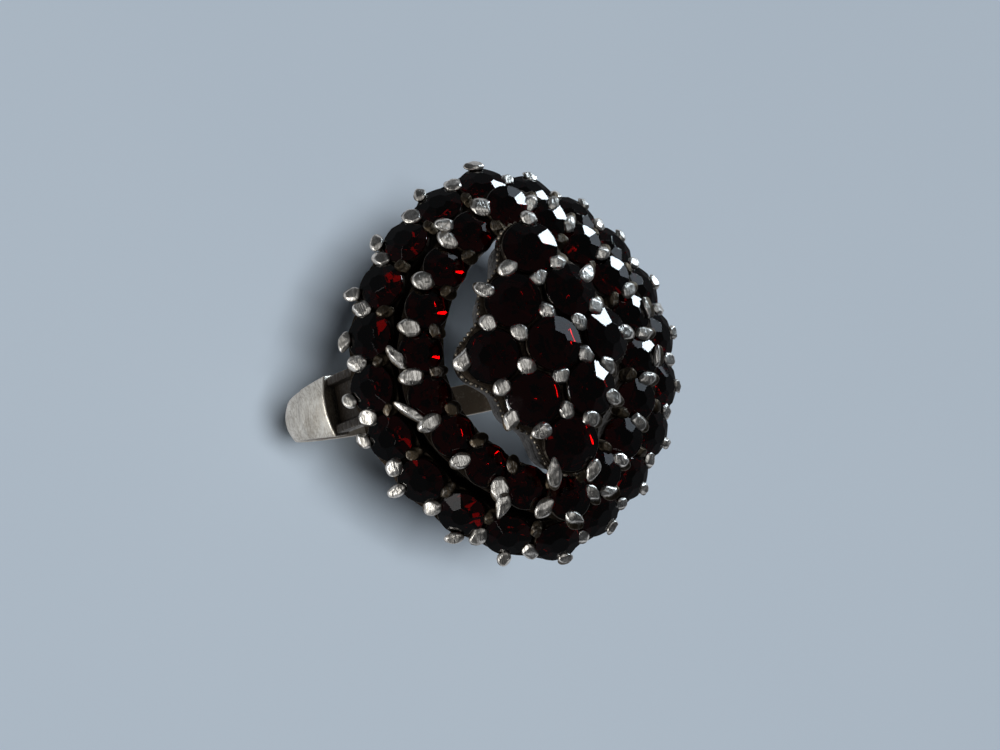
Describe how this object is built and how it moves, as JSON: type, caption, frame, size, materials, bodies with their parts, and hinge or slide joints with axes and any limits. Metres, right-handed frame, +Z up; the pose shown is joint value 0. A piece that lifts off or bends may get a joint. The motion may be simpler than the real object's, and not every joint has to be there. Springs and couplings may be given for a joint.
{
  "type": "cocktail ring",
  "caption": "Tall domed cluster ring worn on a finger: closed rows of claw-set dark red stones around a raised lozenge, on a tapered silver band.",
  "frame": {"origin": "centre of the finger hole", "axes": "+Y along the finger, +Z up through the middle of the head, +X across the head"},
  "size_m": [0.0196, 0.0204, 0.0266],
  "materials": {
    "garnet": "polished, faceted, near-black red",
    "bright_silver": "satin, finely scratched",
    "worn_silver": "claws worn bright, tarnished in the recesses",
    "dark_silver": "tarnished brown"
  },
  "bodies": {
    "root": {"band": "bright_silver", "base_frame": "dark_silver", "bracket_back": "dark_silver", "bracket_front": "dark_silver", "garnet_inner_01": "garnet", "garnet_inner_02": "garnet", "garnet_inner_03": "garnet", "garnet_inner_04": "garnet", "garnet_inner_05": "garnet", "garnet_inner_06": "garnet", "garnet_inner_07": "garnet", "garnet_inner_08": "garnet", "garnet_inner_09": "garnet", "garnet_inner_10": "garnet", "garnet_inner_11": "garnet", "garnet_inner_12": "garnet", "garnet_inner_13": "garnet", "garnet_inner_14": "garnet", "garnet_inner_15": "garnet", "garnet_inner_16": "garnet", "garnet_inner_17": "garnet", "garnet_inner_18": "garnet", "garnet_outer_01": "garnet", "garnet_outer_02": "garnet", "garnet_outer_03": "garnet", "garnet_outer_04": "garnet", "garnet_outer_05": "garnet", "garnet_outer_06": "garnet", "garnet_outer_07": "garnet", "garnet_outer_08": "garnet", "garnet_outer_09": "garnet", "garnet_outer_10": "garnet", "garnet_outer_11": "garnet", "garnet_outer_12": "garnet", "garnet_outer_13": "garnet", "garnet_outer_14": "garnet", "garnet_outer_15": "garnet", "garnet_outer_16": "garnet", "garnet_outer_17": "garnet", "garnet_outer_18": "garnet", "garnet_outer_19": "garnet", "garnet_outer_20": "garnet", "garnet_top_01": "garnet", "garnet_top_02": "garnet", "garnet_top_03": "garnet", "garnet_top_04": "garnet", "garnet_top_05": "garnet", "garnet_top_06": "garnet", "garnet_top_07": "garnet", "garnet_top_08": "garnet", "garnet_top_09": "garnet", "lower_setting": "worn_silver", "lug_left": "dark_silver", "lug_right": "dark_silver", "middle_setting": "worn_silver", "riser_collar": "dark_silver", "top_gallery": "dark_silver", "top_setting": "worn_silver"}
  },
  "joints": []
}
